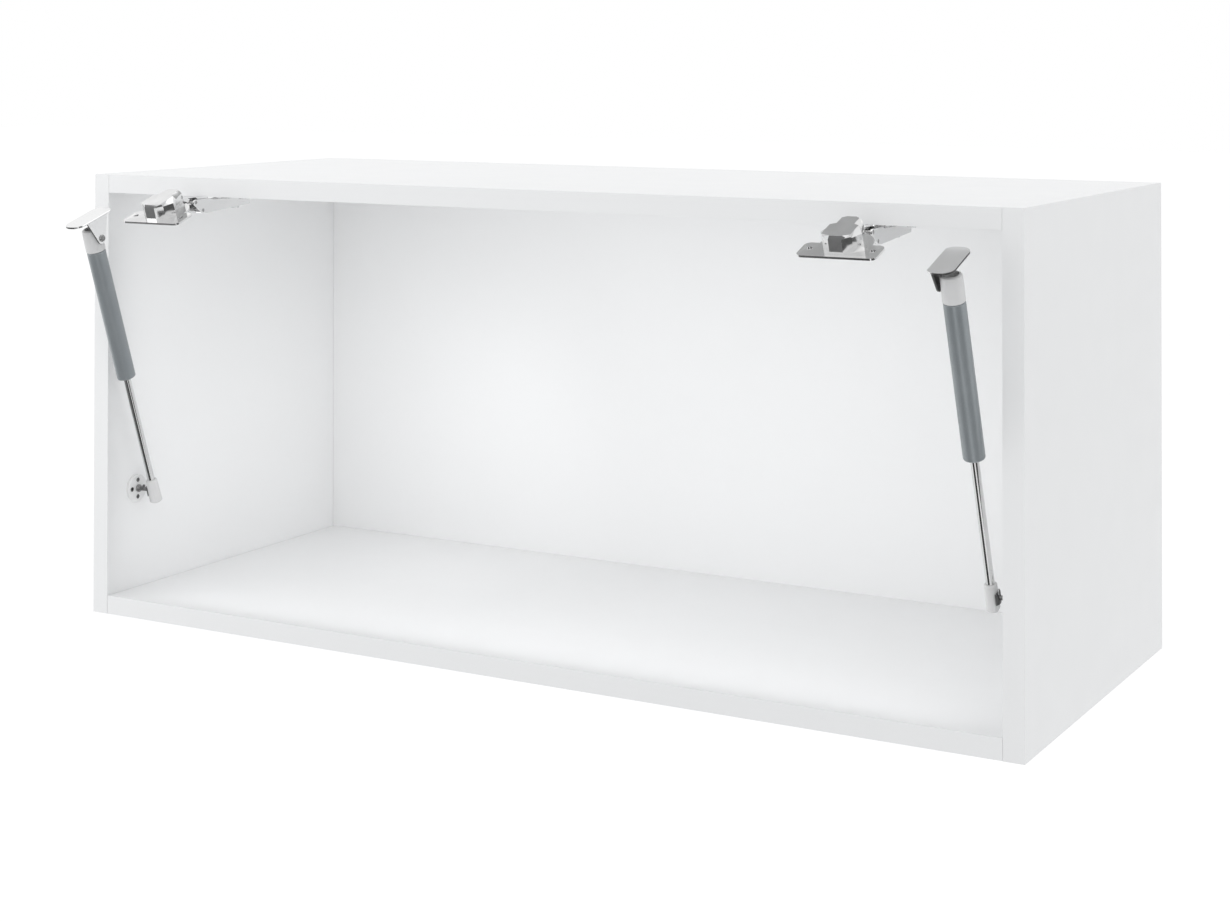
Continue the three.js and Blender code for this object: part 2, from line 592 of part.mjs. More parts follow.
// The moulded cap on the tube's stud: a slight taper, a hollow top and a cross hole for the rivet.
function endCap() {
  const wellFloor = CAP_TOP - CAP_POCKET_DEPTH;
  const studHole = TUBE_STUD_RADIUS + PIN_FIT;
  const studTop = TUBE_TOP + TUBE_STUD_LENGTH + SEAT_GAP;
  const body = turned([
    [0, studTop], [studHole, studTop], [studHole, CAP_START],
    [CAP_FOOT_RADIUS - CAP_EDGE / 2, CAP_START], [CAP_FOOT_RADIUS, CAP_START + CAP_EDGE],
    [CAP_TOP_RADIUS, CAP_TOP - CAP_TOP_EDGE], [CAP_TOP_RADIUS - CAP_EDGE / 2, CAP_TOP - CAP_EDGE],
    [CAP_TOP_RADIUS - CAP_TOP_EDGE, CAP_TOP], [CAP_POCKET_RADIUS, CAP_TOP],
    [CAP_POCKET_RADIUS, wellFloor], [0, wellFloor],
  ], FINE_STEPS);
  const holeEnd = CAP_TOP_RADIUS - RIVET_TAIL + SEAT_GAP;
  const holeStart = -CAP_FOOT_RADIUS - PAST;
  return cut(body, crossBar(RIVET_RADIUS + RUNNING_FIT, holeStart, holeEnd, 0, UPPER_PIVOT));
}

// The rivet through the ear and the cap, with a domed head outside the ear.
function rivet() {
  const head = EAR_OUTER - RIVET_HEAD_HEIGHT - PIN_FIT;
  const seat = EAR_OUTER - PIN_FIT;
  const dome = RIVET_HEAD_HEIGHT / 2;
  const end = CAP_TOP_RADIUS - RIVET_TAIL;
  return turned([
    [0, head], [RIVET_HEAD - dome, head], [RIVET_HEAD, head + dome], [RIVET_HEAD, seat],
    [RIVET_RADIUS, seat], [RIVET_RADIUS, end], [0, end],
  ]).rotateY(Math.PI / 2).translate(0, 0, UPPER_PIVOT);
}

// The bent sheet that carries the flap: a blank rounded plate with a three cornered ear folded down
// on the side away from the panel.
function flapBracket() {
  const top = UPPER_PIVOT + FLAP_PLATE_RISE;
  const underside = top - FLAP_PLATE_SHEET;
  const half = FLAP_PLATE_LENGTH / 2;
  const low = UPPER_PIVOT - EAR_TIP;
  const bend = FLAP_PLATE_SHEET;
  const section = new THREE.Shape();
  section.moveTo(EAR_OUTER, low);
  section.lineTo(EAR_INNER, low);
  section.lineTo(EAR_INNER, underside);
  section.lineTo(FLAP_PLATE_OVERHANG, underside);
  section.lineTo(FLAP_PLATE_OVERHANG, top);
  section.lineTo(EAR_OUTER + bend, top);
  section.absarc(EAR_OUTER + bend, top - bend, bend, Math.PI / 2, Math.PI);
  const folded = upright(section, -half, half, 5);
  const outline = roundedRectangle([EAR_OUTER, -half], [FLAP_PLATE_OVERHANG, half], FLAP_PLATE_CORNER);
  const seenFromAbove = plate(outline, low - PAST, top + PAST, 8);
  const lean = Math.acos(EAR_TIP / Math.hypot(EAR_SPREAD, underside - UPPER_PIVOT));
  const aim = Math.atan2(underside - UPPER_PIVOT, EAR_SPREAD);
  const ear = new THREE.Shape();
  ear.absarc(0, UPPER_PIVOT, EAR_TIP, Math.PI - aim + lean, 2 * Math.PI + aim - lean);
  ear.lineTo(EAR_SPREAD, underside);
  ear.lineTo(half + PAST, underside);
  ear.lineTo(half + PAST, top + PAST);
  ear.lineTo(-half - PAST, top + PAST);
  ear.lineTo(-half - PAST, underside);
  ear.lineTo(-EAR_SPREAD, underside);
  const seenFromSide = slab(ear, EAR_OUTER - PAST, FLAP_PLATE_OVERHANG + PAST, 10);
  const hole = crossBar(RIVET_RADIUS + PIN_FIT, EAR_OUTER - PAST, EAR_INNER + PAST, 0, UPPER_PIVOT);
  return cut(common(folded, seenFromAbove, seenFromSide), hole);
}

const STRUT_FOOT_PIECES = [
  ["foot_plate", footPlate, "whitePlastic"],
  ["foot_stud", footStud, "steel"],
];
const STRUT_PIECES = [
  ["socket", socket, "whitePlastic"],
  ["socket_clip", socketClip, "darkSteel"],
  ["rod", pistonRod, "chrome"],
  ["rod_guide", rodGuide, "blackPlastic"],
  ["tube", tube, "tube"],
  ["end_cap", endCap, "whitePlastic"],
  ["rivet", rivet, "steel"],
  ["flap_bracket", flapBracket, "paintedSteel"],
];

// The strut of one side; side is 1 on the right and -1 on the left.
function strut(name, side) {
  const made = ([part, make, finish]) => {
    const geometry = side > 0 ? make() : mirrored(make());
    return piece(`${name}_${part}`, geometry, FINISH[finish]);
  };
  const foot = new THREE.Group();
  foot.position.set(side * (INNER_HALF - STRUT_OFFSET), FOOT_SETBACK, FOOT_HEIGHT);
  foot.add(...STRUT_FOOT_PIECES.map(made));
  const leaning = new THREE.Group();
  leaning.rotation.x = degrees(STRUT_LEAN);
  leaning.add(...STRUT_PIECES.map(made));
  foot.add(leaning);
  return foot;
}

// ---------------------------------------------------------------- concealed hinge
// Hinge frame: X from its middle, Y back from the front edges, Z up from the underside of the top.
// Cup frame: origin on the screw line, Y along the flap's plane, Z into the flap.
const CUP_FRAME = new THREE.Matrix4().makeRotationX(degrees(FLAP_TILT))
  .setPosition(0, -SCREW_LINE_REACH, -SCREW_LINE_DROP);

function hingeCentres() {
  return [-1, 1].map((side) => side * (WIDTH / 2 - HINGE_INSET));
}

function plateScrewPlaces() {
  return [-PLATE_SCREW_SPACING / 2, PLATE_SCREW_SPACING / 2];
}

// A point of the cup frame in the hinge frame, as [y, z].
function fromCup({ v, w }) {
  const point = new THREE.Vector3(0, v, w).applyMatrix4(CUP_FRAME);
  return [point.y, point.z];
}

// Height of the arm's web, its lower face, at a distance behind the front edge.
function webHeight(y) {
  return THREE.MathUtils.mapLinear(y, 0, ARM_REAR, -ARM_FRONT_DEPTH, -ARM_REAR_DEPTH);
}

// The cross shaped plate under the top: two wings with the screws, and the block inside the arm.
function mountingPlate() {
  const wings = plate(roundedRectangle(
    [-PLATE_WING_LENGTH / 2, PLATE_LINE - PLATE_WING_WIDTH / 2],
    [PLATE_WING_LENGTH / 2, PLATE_LINE + PLATE_WING_WIDTH / 2],
    PLATE_WING_WIDTH / 2 - PIN_FIT,
  ), -PLATE_SHEET, 0);
  const half = PLATE_BLOCK_HALF;
  const outline = roundedRectangle([-half, PLATE_BLOCK_START], [half, PLATE_BLOCK_END], half / 2);
  const block = plate(outline, -PLATE_BLOCK_DROP, 0);
  const screwHoles = plateScrewPlaces().map((x) => {
    const hole = bar(WOOD_SCREW_SHANK + PIN_FIT, -PLATE_SHEET - PAST, PAST, PIN_STEPS);
    return hole.translate(x, PLATE_LINE, 0);
  });
  const tapped = bar(FIXING_SCREW_SHANK + PIN_FIT, -PLATE_BLOCK_DROP - PAST, PAST);
  tapped.translate(0, FIXING_SCREW_LINE, 0);
  return cut(join(wings, block), ...screwHoles, tapped).translate(0, 0, -PIN_FIT);
}

// The driver slot of a screw whose head's lower face is at a height; reach is half its length.
function slotAcross(height, y, reach) {
  const half = SCREW_SLOT / 2;
  return box([-reach, y - half, height - PAST], [reach, y + half, height + SCREW_SLOT_DEPTH]);
}

// A pan head wood screw through a wing of the mounting plate.
function plateScrew(x) {
  const seat = -PLATE_SHEET - PIN_FIT * 2;
  const low = seat - WOOD_SCREW_HEAD_HEIGHT;
  const rim = WOOD_SCREW_HEAD_HEIGHT / 2;
  const screw = turned([
    [0, low], [WOOD_SCREW_HEAD - rim, low], [WOOD_SCREW_HEAD, low + rim], [WOOD_SCREW_HEAD, seat],
    [WOOD_SCREW_SHANK, seat], [WOOD_SCREW_SHANK, WOOD_SCREW_BITE - WOOD_SCREW_SHANK],
    [0, WOOD_SCREW_BITE],
  ], PIN_STEPS).translate(x, PLATE_LINE, 0);
  const slot = slotAcross(low, 0, WOOD_SCREW_HEAD + PAST).translate(x, PLATE_LINE, 0);
  return cut(screw, slot);
}

// The pressed channel that carries both arm pins: two side walls joined by a web underneath.
function hingeArm() {
  const half = ARM_WIDTH / 2;
  const clear = -PLATE_SHEET - SEAT_GAP * 2;
  const nose = Math.atan2(REAR_PIN.z - FRONT_PIN.z, REAR_PIN.y - FRONT_PIN.y) - Math.PI / 2;
  const profile = new THREE.Shape();
  profile.moveTo(ARM_REAR, webHeight(ARM_REAR));
  profile.lineTo(ARM_REAR, clear);
  profile.lineTo(ARM_SHOULDER_END, clear);
  profile.lineTo(ARM_SHOULDER_START, -ARM_SHOULDER);
  profile.lineTo(FRONT_PIN.y, FRONT_PIN.z + ARM_NOSE);
  profile.absarc(FRONT_PIN.y, FRONT_PIN.z, ARM_NOSE, Math.PI / 2, 2 * Math.PI + nose);
  profile.absarc(REAR_PIN.y, REAR_PIN.z, ARM_NOSE, 2 * Math.PI + nose, Math.PI * 1.5);
  profile.lineTo(ARM_WEB_START, webHeight(ARM_WEB_START));
  const solid = slab(profile, -half, half, 8);
  const channel = new THREE.Shape();
  channel.moveTo(ARM_REAR + PAST, webHeight(ARM_REAR + PAST) + ARM_SHEET);
  channel.lineTo(ARM_REAR + PAST, PAST);
  channel.lineTo(-SCREW_LINE_REACH, PAST);
  channel.lineTo(-SCREW_LINE_REACH, webHeight(0) - ARM_SHEET);
  channel.lineTo(ARM_WEB_START, webHeight(0) - ARM_SHEET);
  channel.lineTo(ARM_WEB_START, webHeight(ARM_WEB_START) + ARM_SHEET);
  const hollow = slab(channel, -half + ARM_SHEET, half - ARM_SHEET);
  const pins = [REAR_PIN, FRONT_PIN].map(({ y, z }) => {
    return crossBar(HINGE_PIN + PIN_FIT, -half - PAST, half + PAST, y, z, PIN_STEPS);
  });
  const low = -ARM_FRONT_DEPTH - PAST;
  const fixing = bar(FIXING_SCREW_SHANK + SEAT_GAP, low, 0, PIN_STEPS);
  const depth = bar(DEPTH_SCREW_RADIUS + PIN_FIT, low, 0, PIN_STEPS);
  return cut(
    solid, hollow, ...pins,
    fixing.translate(0, FIXING_SCREW_LINE, 0),
    depth.translate(0, DEPTH_SCREW_LINE, 0),
  );
}

// The screw that clamps the arm's web to the mounting plate.
function fixingScrew() {
  const seat = webHeight(FIXING_SCREW_LINE - FIXING_SCREW_HEAD) - PIN_FIT;
  const low = seat - FIXING_SCREW_HEAD_HEIGHT;
  const rim = FIXING_SCREW_HEAD_HEIGHT / 3;
  const screw = turned([
    [0, low], [FIXING_SCREW_HEAD - rim, low], [FIXING_SCREW_HEAD, low + rim],
    [FIXING_SCREW_HEAD, seat], [FIXING_SCREW_SHANK, seat], [FIXING_SCREW_SHANK, -PLATE_SHEET],
    [0, -PLATE_SHEET],
  ], PIN_STEPS).translate(0, FIXING_SCREW_LINE, 0);
  return cut(screw, slotAcross(low, FIXING_SCREW_LINE, FIXING_SCREW_HEAD + PAST));
}

// The grub screw in the web that bears on the mounting plate.
function depthScrew() {
  const low = webHeight(DEPTH_SCREW_LINE - DEPTH_SCREW_RADIUS) - PIN_FIT;
  const high = -PLATE_BLOCK_DROP - PIN_FIT - SEAT_GAP / 2;
  const screw = bar(DEPTH_SCREW_RADIUS, low, high, PIN_STEPS).translate(0, DEPTH_SCREW_LINE, 0);
  return cut(screw, slotAcross(low, DEPTH_SCREW_LINE, DEPTH_SCREW_RADIUS + PAST));
}

// The leaf spring on the web that snaps the long link over: flat at its foot, then curved up.
function leafSpring() {
  const above = SPRING_SHEET / 2;
  const onWeb = (y) => new THREE.Vector2(y, webHeight(y) + ARM_SHEET + above + SEAT_GAP / 2);
  const flat = new THREE.LineCurve(onWeb(SPRING_FOOT), onWeb(SPRING_BEND));
  const tip = new THREE.Vector2(SPRING_TIP.y, SPRING_TIP.z);
  const rise = new THREE.QuadraticBezierCurve(
    onWeb(SPRING_BEND + above), onWeb(SPRING_LIFT), tip,
  );
  return join(
    slab(strip(flat, above, 1), -SPRING_HALF, SPRING_HALF),
    slab(strip(rise, above), -SPRING_HALF, SPRING_HALF),
  );
}

// A link: a curved strip between two eyes, drawn in (y, z) at rest.
function link(from, fromEye, to, toEye, toHole, bow, [x0, x1]) {
  const a = new THREE.Vector2(...from);
  const b = new THREE.Vector2(...to);
  const aside = new THREE.Vector2(a.y - b.y, b.x - a.x).normalize().multiplyScalar(bow);
  const curve = new THREE.QuadraticBezierCurve(a, a.clone().add(b).multiplyScalar(0.5).add(aside), b);
  const body = join(
    slab(strip(curve, LINK_HALF), x0, x1),
    crossBar(fromEye, x0, x1, ...from),
    crossBar(toEye, x0, x1, ...to),
  );
  return cut(
    body,
    crossBar(HINGE_PIN + RUNNING_FIT, x0 - PAST, x1 + PAST, ...from, PIN_STEPS),
    crossBar(toHole, x0 - PAST, x1 + PAST, ...to, PIN_STEPS),
  );
}

// The link whose eye on the cup has room, because the pin moves a little in it through the range.
function longLink() {
  const start = [REAR_PIN.y, REAR_PIN.z];
  const [pinY, pinZ] = fromCup(RIM_PIN);
  const end = [pinY + FREE_EYE_SHIFT.y, pinZ + FREE_EYE_SHIFT.z];
  return link(start, LINK_EYE, end, FREE_EYE, FREE_EYE_HOLE, LONG_LINK_BOW, LONG_LINK_X);
}

function shortLink() {
  const start = [FRONT_PIN.y, FRONT_PIN.z];
  const hole = HINGE_PIN + RUNNING_FIT;
  return link(start, ARM_NOSE, fromCup(DEEP_PIN), LINK_EYE, hole, -SHORT_LINK_BOW, SHORT_LINK_X);
}

// A ring of the cup at one height: a half outline and its mirror image, moved out from the middle.
function cupRing(outline, height, outwards) {
  const right = outline.map(([x, v]) => {
    const reach = Math.hypot(x, v - CUP_CENTRE);
    const share = (reach + outwards) / reach;
    return [x * share, CUP_CENTRE + (v - CUP_CENTRE) * share, height];
  });
  const left = right.map(([x, v, w]) => [-x, v, w]).reverse();
  return [...right, ...left];
}

// The deep drawn cup with its flange: a faceted body with a bevelled flat end, two wings with the
// screw holes, and a slot in the rim where the links come out.
function cup() {
  const shoulder = CUP_DEPTH - CUP_BEVEL_DROP;
  const body = loft([
    cupRing(CUP_BASE, -FLANGE_SHEET / 2, 0),
    cupRing(CUP_BASE, 0, 0),
    cupRing(CUP_BASE, shoulder, -CUP_DRAFT),
    cupRing(CUP_FLAT, CUP_DEPTH, 0),
  ]);
  const hollow = loft([
    cupRing(CUP_BASE, -FLANGE_SHEET - PAST, -CUP_WALL),
    cupRing(CUP_BASE, 0, -CUP_WALL),
    cupRing(CUP_BASE, shoulder - CUP_WALL, -CUP_DRAFT - CUP_WALL),
    cupRing(CUP_FLAT, CUP_DEPTH - CUP_WALL, -CUP_WALL),
  ]);
  const wings = roundedRectangle(
    [-FLANGE_HALF, -FLANGE_FRONT], [FLANGE_HALF, FLANGE_REAR], FLANGE_CORNER,
  );
  const rim = bar(FLANGE_RIM, -FLANGE_SHEET, 0, FINE_STEPS).translate(0, CUP_CENTRE, 0);
  const holes = [-SCREW_SPACING / 2, SCREW_SPACING / 2].map((x) => {
    const hole = bar(FLANGE_HOLE, -FLANGE_SHEET - PAST, PAST);
    return hole.translate(x, 0, 0);
  });
  const mouth = box(
    [-CUP_MOUTH, CUP_MOUTH_START, -FLANGE_SHEET - PAST],
    [CUP_MOUTH, CUP_CENTRE + FLANGE_RIM + PAST, CUP_MOUTH_HEIGHT],
  );
  const pins = [RIM_PIN, DEEP_PIN].map(({ v, w }) => {
    return crossBar(HINGE_PIN + PIN_FIT, -FLANGE_HALF, FLANGE_HALF, v, w, PIN_STEPS);
  });
  return cut(join(body, plate(wings, -FLANGE_SHEET, 0), rim), hollow, ...holes, mouth, ...pins);
}

// One hinge, with its middle at x.
function hinge(name, x) {
  const arm = new THREE.Group();
  arm.position.set(x, 0, TOP_UNDERSIDE);
  const pin = (from, to, y, z) => crossBar(HINGE_PIN, from, to, y, z, PIN_STEPS);
  const armEdge = ARM_WIDTH / 2;
  const [, longEnd] = LONG_LINK_X;
  const [shortStart] = SHORT_LINK_X;
  const [leftScrew, rightScrew] = plateScrewPlaces();
  arm.add(
    piece(`${name}_mounting_plate`, mountingPlate(), FINISH.zinc),
    piece(`${name}_plate_screw_left`, plateScrew(leftScrew), FINISH.zinc),
    piece(`${name}_plate_screw_right`, plateScrew(rightScrew), FINISH.zinc),
    piece(`${name}_arm`, hingeArm(), FINISH.nickel),
    piece(`${name}_fixing_screw`, fixingScrew(), FINISH.zinc),
    piece(`${name}_depth_screw`, depthScrew(), FINISH.zinc),
    piece(`${name}_leaf_spring`, leafSpring(), FINISH.darkSteel),
    piece(`${name}_rear_arm_pin`, pin(-armEdge, armEdge, REAR_PIN.y, REAR_PIN.z), FINISH.steel),
    piece(`${name}_front_arm_pin`, pin(shortStart, armEdge, FRONT_PIN.y, FRONT_PIN.z), FINISH.steel),
    piece(`${name}_long_link`, longLink(), FINISH.nickel),
    piece(`${name}_short_link`, shortLink(), FINISH.nickel),
  );
  const cupGroup = new THREE.Group();
  cupGroup.applyMatrix4(CUP_FRAME);
  cupGroup.add(
    piece(`${name}_cup`, cup(), FINISH.nickel),
    piece(`${name}_rim_cup_pin`, pin(-RIM_PIN_END, longEnd, RIM_PIN.v, RIM_PIN.w), FINISH.steel),
    piece(`${name}_deep_cup_pin`, pin(shortStart, DEEP_PIN_END, DEEP_PIN.v, DEEP_PIN.w), FINISH.steel),
  );
  arm.add(cupGroup);
  return arm;
}

// ---------------------------------------------------------------- cabinet
const carcass = new THREE.Group();
carcass.add(
  piece("left_side", mirrored(rightSide()), FINISH.board),
  piece("right_side", rightSide(), FINISH.board),
  piece("top_panel", topPanel(), FINISH.board),
  piece("bottom_panel", cut(crossPanel(0), backGroove()), FINISH.board),
  piece("back_panel", backPanel(), FINISH.board),
  piece("left_hanging_plate", mirrored(rightHanger()), FINISH.zinc),
  piece("right_hanging_plate", rightHanger(), FINISH.zinc),
  strut("left_strut", -1),
  strut("right_strut", 1),
);
["lower", "upper"].forEach((level, i) => {
  const screw = () => hangerScrew(HANGER_SCREW_HEIGHTS[i]);
  carcass.add(
    piece(`left_hanging_screw_${level}`, mirrored(screw()), FINISH.zinc),
    piece(`right_hanging_screw_${level}`, screw(), FINISH.zinc),
  );
});
const [leftHinge, rightHinge] = hingeCentres();
carcass.add(hinge("left_hinge", leftHinge), hinge("right_hinge", rightHinge));
carcass.position.set(0, -DEPTH, -(HEIGHT - BOARD / 2));

const cabinet = new THREE.Group();
cabinet.add(carcass);

export default cabinet;
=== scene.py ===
import json
import math

import bmesh
import bpy
from mathutils import Matrix, Vector


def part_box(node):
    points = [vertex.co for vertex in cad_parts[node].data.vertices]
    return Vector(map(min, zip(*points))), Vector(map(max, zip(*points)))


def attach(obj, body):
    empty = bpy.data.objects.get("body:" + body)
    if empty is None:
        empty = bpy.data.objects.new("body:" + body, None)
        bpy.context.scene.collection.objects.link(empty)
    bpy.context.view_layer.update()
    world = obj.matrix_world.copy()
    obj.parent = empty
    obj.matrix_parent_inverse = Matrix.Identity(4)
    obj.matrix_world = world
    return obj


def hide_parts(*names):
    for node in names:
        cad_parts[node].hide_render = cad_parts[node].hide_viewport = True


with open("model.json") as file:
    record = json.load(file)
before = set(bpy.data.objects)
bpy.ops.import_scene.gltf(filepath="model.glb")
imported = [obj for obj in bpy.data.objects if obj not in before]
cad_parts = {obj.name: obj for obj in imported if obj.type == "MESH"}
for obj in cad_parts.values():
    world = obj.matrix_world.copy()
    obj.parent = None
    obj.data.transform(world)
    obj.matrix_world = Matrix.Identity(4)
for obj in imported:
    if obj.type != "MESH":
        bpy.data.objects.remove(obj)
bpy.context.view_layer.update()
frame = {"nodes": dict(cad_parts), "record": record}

# ---------------------------------------------------------------- sizes
MM = 0.001
SIDES = {"left": -1, "right": 1}

# the struts' lower pivots, in metres, and their lean towards the front
STRUT_X = 0.3655
FOOT = (-0.2861, -0.2553)  # (y, z)
LEAN = math.radians(18.8)

# the strut along its axis, in mm from the lower pivot
SOCKET_TOP = 10
ROD_BITE = 5  # length of the rod inside the socket
ROD_RADIUS = 3
ROD_EDGE = 0.4
TUBE_START = 103.3
TUBE_TOP = 215.3
TUBE_RADIUS = 7.5
TUBE_BORE = 6.6
TUBE_LIP = 5.3  # radius that the rolled rim leaves open
TUBE_RIM = 0.9  # thickness of the rolled rim
TUBE_ROLL = 1.1  # rounding of the tube at the rod's end
TUBE_CROWN = 0.6  # rounding at its closed end
TUBE_CLOSED_END = 3
THREAD_RADIUS = 3
THREAD_LENGTH = 6
PISTON_START = 115.2
PISTON_LENGTH = 7
PISTON_RADIUS = 6.5
PISTON_GROOVE = 5.5  # radius in the groove, which takes the middle third of the length

# the screws of the foot plates, in mm
FOOT_HOLES = 4
FOOT_HOLE_CIRCLE = 6.9  # radius, from the stud to the screws
SCREW_FOOT = 0.2  # heights above the side panel
SCREW_HEAD = 2.4
SCREW_CONE = 0.75  # height of the countersunk part
SCREW_RADIUS = 1.1
SCREW_HEAD_RADIUS = 1.85
SCREW_CROSS = (2.1, 0.5)  # length and width of the recess's arms
SCREW_RECESS = 0.5  # depth of the recess
SCREW_CUTTER_RISE = 1  # how far its cutter stands past the head
SCREW_TURN = (20, 35)  # degrees, the first screw's turn and what each next one adds

# the flap's bracket
FLAP_NORMAL = Vector((0, -0.322, 0.947))  # of the plate that meets the flap
# faces that lean outwards less than this take the painted shade
OUTER_FACE = 0.3  # a face that leans outwards by more than this share is an outer face

# meshes
ROUND_SIDES = 96  # of a turned piece
SCREW_SIDES = 32
ON_AXIS = 1e-6  # mm, a radius under this is a point on the axis
WELD = 0.000002  # metres, vertices nearer than this are one
FLAT_ANGLE = math.radians(0.6)  # faces that differ by less are one flat face
BEVEL_ANGLE = math.radians(30)  # edges above this are rounded over
BEVEL_SEGMENTS = 2
SMOOTH_ANGLE = math.radians(32)  # edges above this stay sharp
CRISP_ANGLE = math.radians(24)  # the same on folded and faceted sheet
CRISP = ("cup", "arm", "mounting_plate", "flap_bracket")
FLAT_WEIGHT = 90  # how much large faces decide the shading of their rounded edges
FINE_ROUNDING = 0.00015  # metres, of every edge without an entry below
ROUNDING_OF = {
    "side": 0.0007, "top_panel": 0.0005, "bottom_panel": 0.0005, "back_panel": 0.0004,
    "arm": 0.00022, "cup": 0.0003, "mounting_plate": 0.0003, "flap_bracket": 0.0002,
    "foot_plate": 0.0002, "hanging_plate": 0.0003, "end_cap": 0.0003, "socket": 0.0003,
    "socket_clip": 0.00012, "long_link": 0.00025, "short_link": 0.00025,
}

# camera, fitted to the edges of the carcass in the photograph
CAMERA_PLACE = (0.8747, -1.6878, 0.109)
CAMERA_YAW = math.radians(28.987)
CAMERA_PITCH = math.radians(0.784)
CAMERA_ROLL = math.radians(0.046)
CAMERA_NEAR = 0.05
IMAGE_WIDTH = 1230
IMAGE_HEIGHT = 922
FOCAL_PIXELS = 2195.2
CENTRE_X = 642.8  # where the optical axis meets the photograph, far above its middle
CENTRE_Y = 21.4
SENSOR = 36

# light
WORLD_LIGHT = 0.9
WORLD_TINT = (0.985, 0.993, 1)
FLOOR_DROP = 1.35
FLOOR_SIZE = 60
FLOOR_SHADE = 0.85  # what the object sees of the floor
FLOOR_ROUGHNESS = 0.9
FLOOR_LIT = 0.53  # the lit part of the white that the camera sees, which keeps the shadow
FLOOR_LIFT = 0.56  # the rest of that white
MIDDLE = (0, -0.16, -0.173)  # of the carcass
MOUTH = (0, -0.317, -0.173)
INWARDS = (0, 1, -0.173)
RIGHT_METAL = (0.3, -0.36, -0.03)
HIGH_METAL = (0.32, -0.36, -0.03)
RIGHT_ROD = (0.36, -0.32, -0.2)
FRONT_METAL = (0, -0.36, -0.03)

# ---------------------------------------------------------------- materials
EVEN = (1, 1, 1)
NOISE_RANGE = (0.3, 0.7)  # what a noise mostly takes
EDGE_RANGE = (0.52, 0.6)  # pointiness from a flat face to a convex edge


class Graph:
    """A material's node tree with short ways to add what these surfaces need."""

    def __init__(self, name):
        self.material = bpy.data.materials.new(name)
        self.material.use_nodes = True
        self.nodes = self.material.node_tree.nodes
        self.links = self.material.node_tree.links
        self.shader = self.nodes["Principled BSDF"]
        self.place = self.nodes.new("ShaderNodeTexCoord").outputs["Object"]

    def noise(self, scale, detail, stretch=EVEN, distortion=0.0):
        mapping = self.nodes.new("ShaderNodeMapping")
        mapping.inputs["Scale"].default_value = stretch
        self.links.new(self.place, mapping.inputs["Vector"])
        texture = self.nodes.new("ShaderNodeTexNoise")
        texture.inputs["Scale"].default_value = scale
        texture.inputs["Detail"].default_value = detail
        texture.inputs["Distortion"].default_value = distortion
        self.links.new(mapping.outputs["Vector"], texture.inputs["Vector"])
        return texture.outputs["Fac"]

    def span(self, value, low, high, source=NOISE_RANGE):
        """The value's range in source, spread from low to high."""
        span = self.nodes.new("ShaderNodeMapRange")
        span.inputs["From Min"].default_value = source[0]
        span.inputs["From Max"].default_value = source[1]
        span.inputs["To Min"].default_value = low
        span.inputs["To Max"].default_value = high
        self.links.new(value, span.inputs["Value"])
        return span.outputs["Result"]

    def blend(self, factor, base, colour):
        mix = self.nodes.new("ShaderNodeMix")
        mix.data_type = "RGBA"
        self.links.new(factor, mix.inputs["Factor"])
        self.links.new(base, mix.inputs["A"])
        mix.inputs["B"].default_value = (*colour, 1)
        return mix.outputs["Result"]

    def cloud(self, noise, low, high):
        """A colour that drifts between two."""
        ramp = self.nodes.new("ShaderNodeValToRGB")
        for element, place, colour in zip(ramp.color_ramp.elements, NOISE_RANGE, (low, high)):
            element.position = place
            element.color = (*colour, 1)
        self.links.new(noise, ramp.inputs["Fac"])
        return ramp.outputs["Color"]

    def mottled(self, base, noise, colour, share, source=NOISE_RANGE):
        """The base with up to a share of another colour where the noise is high."""
        return self.blend(self.span(noise, 0, share, source), base, colour)

    def worn(self, base, colour, share=1.0):
        """The base with a share of another colour on the convex edges."""
        geometry = self.nodes.new("ShaderNodeNewGeometry")
        edges = self.span(geometry.outputs["Pointiness"], 0, share, EDGE_RANGE)
        return self.blend(edges, base, colour)

    def bump(self, height, strength, distance):
        bump = self.nodes.new("ShaderNodeBump")
        bump.inputs["Strength"].default_value = strength
        bump.inputs["Distance"].default_value = distance
        self.links.new(height, bump.inputs["Height"])
        self.links.new(bump.outputs["Normal"], self.shader.inputs["Normal"])

    def finish(self, colour, noise, rough, metallic=0.0, coat=0.0):
        """Ends the material. Its roughness drifts between the two of rough."""
        self.links.new(colour, self.shader.inputs["Base Color"])
        self.links.new(self.span(noise, *rough), self.shader.inputs["Roughness"])
        self.shader.inputs["Metallic"].default_value = metallic
        self.shader.inputs["Coat Weight"].default_value = coat
        return self.material


def grey(value, cool=0.0):
    return (value * (1 - cool), value, min(1, value * (1 + cool)))


def melamine():
    g = Graph("melamine")
    base = g.cloud(g.noise(2.5, 5), grey(0.892, 0.004), grey(0.908, 0.003))
    grain = g.mottled(base, g.noise(900, 2), grey(0.88, 0.004), share=0.35)
    edge = g.worn(grain, grey(0.86), share=0.25)
    g.bump(g.noise(1400, 3), strength=0.06, distance=0.0002)
    return g.finish(edge, g.noise(40, 5), rough=(0.34, 0.46), coat=0.05)


def hardboard():
    g = Graph("white_hardboard")
    base = g.cloud(g.noise(3, 5), grey(0.884, 0.004), grey(0.902, 0.003))
    edge = g.worn(base, grey(0.85), share=0.2)
    g.bump(g.noise(700, 4), strength=0.08, distance=0.0003)
    return g.finish(edge, g.noise(60, 4), rough=(0.42, 0.55))


def plated(name, low, high, rough, worn, bump=0.05, stretch=EVEN):
    g = Graph(name)
    base = g.cloud(g.noise(60, 6, stretch, distortion=0.6), low, high)
    smudge = g.mottled(base, g.noise(180, 5), low, share=0.4, source=(0.45, 0.75))
    edge = g.worn(smudge, worn)
    g.bump(g.noise(900, 3, stretch), bump, distance=0.0001)
    return g.finish(edge, g.noise(240, 5, stretch), rough, metallic=1)


